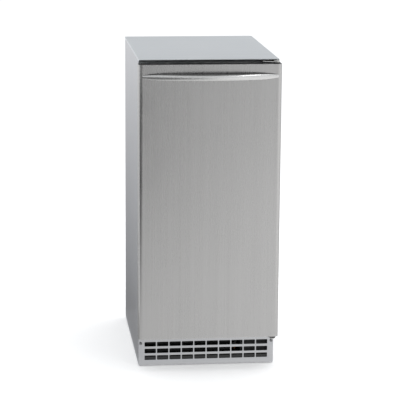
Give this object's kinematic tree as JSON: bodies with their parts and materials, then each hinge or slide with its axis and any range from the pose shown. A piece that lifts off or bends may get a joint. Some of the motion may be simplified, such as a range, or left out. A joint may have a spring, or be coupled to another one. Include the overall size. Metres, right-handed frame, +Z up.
{
  "type": "undercounter ice maker",
  "caption": "Narrow undercounter ice maker: brushed steel cabinet, one tall right-hinged door with a bowed bar handle, ice section and bin inside, slotted kick panel over a condensing unit.",
  "frame": {"origin": "on the floor, under the middle of the bounding box (the handle counts in it)", "axes": "+Z up, -Y towards the door (the front), +X to the right as seen from the front"},
  "size_m": [0.38, 0.592, 0.848],
  "materials": {
    "door_steel": "satin",
    "side_steel": "satin",
    "top_steel": "satin",
    "kick_steel": "satin",
    "handle_steel": "polished",
    "bright_steel": "satin",
    "screw_steel": "gloss",
    "galvanized_steel": "satin",
    "black_paint": "satin",
    "black_plastic": "satin",
    "grey_plastic": "satin",
    "foot_plastic": "matte",
    "white_plastic": "satin",
    "blue_plastic": "satin",
    "foam": "matte",
    "black_rubber": "matte",
    "gasket_rubber": "matte",
    "copper": "satin",
    "tinned_copper": "satin",
    "black_fins": "satin",
    "aluminium_fan": "satin"
  },
  "bodies": {
    "cabinet": {"base_pan": "black_paint", "left_side_panel": "side_steel", "right_side_panel": "side_steel", "rear_panel": "galvanized_steel", "rear_service_panel": "galvanized_steel", "top_panel": "top_steel", "front_top_rail": "galvanized_steel", "face_frame": "grey_plastic", "lower_front_panel": "side_steel", "kick_panel": "kick_steel", "kick_panel_screw_left": "screw_steel", "kick_panel_screw_right": "screw_steel", "bin_liner": "white_plastic", "cabinet_insulation": "foam", "top_hinge_bracket": "bright_steel", "top_hinge_pin": "bright_steel", "bottom_hinge_bracket": "black_paint", "bottom_hinge_pin": "bright_steel", "evaporator_frame": "white_plastic", "evaporator_mold": "tinned_copper", "evaporator_coil": "copper", "ice_chute": "blue_plastic", "spray_manifold": "blue_plastic", "water_sump": "white_plastic", "water_pump_motor": "grey_plastic", "water_pump_volute": "blue_plastic", "bin_thermostat_tube": "copper", "compressor": "black_paint", "compressor_grommet_1": "black_rubber", "compressor_grommet_2": "black_rubber", "compressor_grommet_3": "black_rubber", "compressor_grommet_4": "black_rubber", "condenser": "black_fins", "fan_shroud": "galvanized_steel", "liquid_line_and_drier": "copper", "discharge_line": "copper", "suction_line": "copper", "water_inlet_valve": "blue_plastic", "drain_tube": "grey_plastic", "control_box": "black_paint", "power_cord_gland": "black_plastic", "fan_motor": "black_paint", "fan_motor_bracket": "galvanized_steel"},
    "door": {"door_skin": "door_steel", "door_top_cap": "black_plastic", "door_bottom_cap": "black_plastic", "door_liner": "white_plastic", "door_insulation": "foam", "door_gasket": "gasket_rubber", "door_handle": "handle_steel", "top_hinge_bearing": "black_plastic", "bottom_hinge_bearing": "black_plastic"},
    "ice_curtain": {"ice_curtain": "blue_plastic"},
    "fan": {"condenser_fan": "aluminium_fan"},
    "pump_rotor": {"water_pump_impeller": "grey_plastic"},
    "rocker": {"power_switch": "black_plastic"},
    "foot_front_left": {"leveling_foot_front_left": "foot_plastic"},
    "foot_front_right": {"leveling_foot_front_right": "foot_plastic"},
    "foot_rear_left": {"leveling_foot_rear_left": "foot_plastic"},
    "foot_rear_right": {"leveling_foot_rear_right": "foot_plastic"}
  },
  "joints": [
    {"name": "door_hinge", "type": "hinge", "parent": "cabinet", "child": "door", "pos_m": [0.178, -0.24, 0.46], "axis": [0, 0, 1], "range_deg": [0, 115]},
    {"name": "ice_curtain_swing", "type": "hinge", "parent": "cabinet", "child": "ice_curtain", "pos_m": [0, 0.004, 0.735], "axis": [-1, 0, 0], "range_deg": [0, 45]},
    {"name": "condenser_fan_spin", "type": "hinge", "parent": "cabinet", "child": "fan", "pos_m": [-0.05, -0.112, 0.135], "axis": [0, 1, 0], "continuous": true},
    {"name": "pump_impeller_spin", "type": "hinge", "parent": "cabinet", "child": "pump_rotor", "pos_m": [0.096, 0.12, 0.611], "axis": [0, 0, 1], "continuous": true},
    {"name": "power_switch_rock", "type": "hinge", "parent": "cabinet", "child": "rocker", "pos_m": [0.128, -0.2044, 0.182], "axis": [1, 0, 0], "range_deg": [-10, 10]},
    {"name": "foot_front_left_screw", "type": "slide", "parent": "cabinet", "child": "foot_front_left", "axis": [0, 0, -1], "range_m": [0, 0.012]},
    {"name": "foot_front_right_screw", "type": "slide", "parent": "cabinet", "child": "foot_front_right", "axis": [0, 0, -1], "range_m": [0, 0.012]},
    {"name": "foot_rear_left_screw", "type": "slide", "parent": "cabinet", "child": "foot_rear_left", "axis": [0, 0, -1], "range_m": [0, 0.012]},
    {"name": "foot_rear_right_screw", "type": "slide", "parent": "cabinet", "child": "foot_rear_right", "axis": [0, 0, -1], "range_m": [0, 0.012]}
  ]
}
